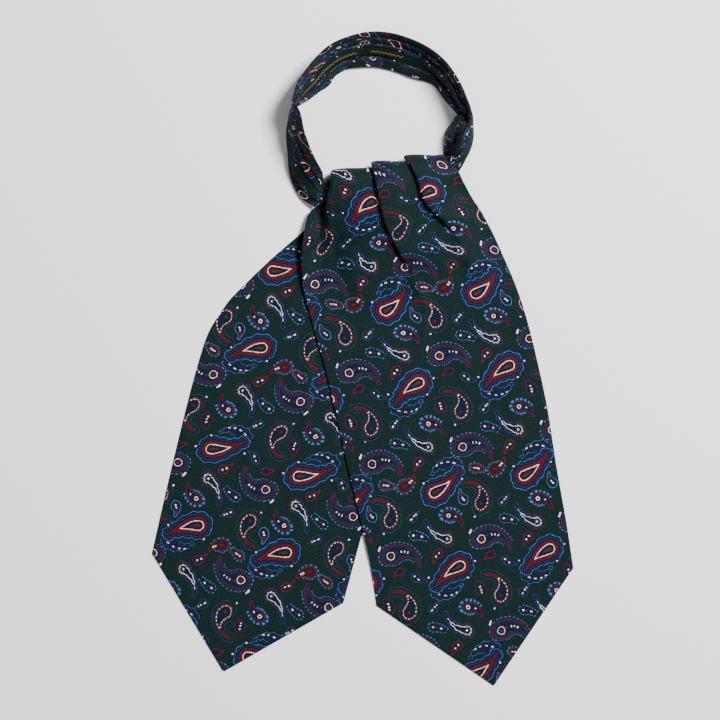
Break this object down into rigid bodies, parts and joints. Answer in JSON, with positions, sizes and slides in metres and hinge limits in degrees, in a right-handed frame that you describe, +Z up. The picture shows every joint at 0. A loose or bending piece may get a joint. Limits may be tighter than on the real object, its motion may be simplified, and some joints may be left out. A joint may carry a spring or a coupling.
{
  "type": "silk cravat",
  "caption": "Day cravat in dark green paisley silk, tied over once and laid flat, its pleated neckband standing in a loop above two pointed blades.",
  "frame": {"origin": "middle of the outline's box, on the surface it lies on", "axes": "+Z up from the surface, +Y from the blades' tips to the back of the neckband, +X towards the front blade's side"},
  "size_m": [0.3224, 0.5002, 0.0339],
  "materials": {
    "printed_silk": "soft twill, printed with small paisleys",
    "label_ribbon": "woven ribbon, bare of words"
  },
  "bodies": {
    "root": {"front_blade": "printed_silk", "back_blade": "printed_silk", "neckband_left": "printed_silk", "neckband_back": "printed_silk", "neckband_right": "printed_silk", "neckband_inner_leaf": "printed_silk", "label_strip": "label_ribbon", "knot_core": "printed_silk"}
  },
  "joints": []
}
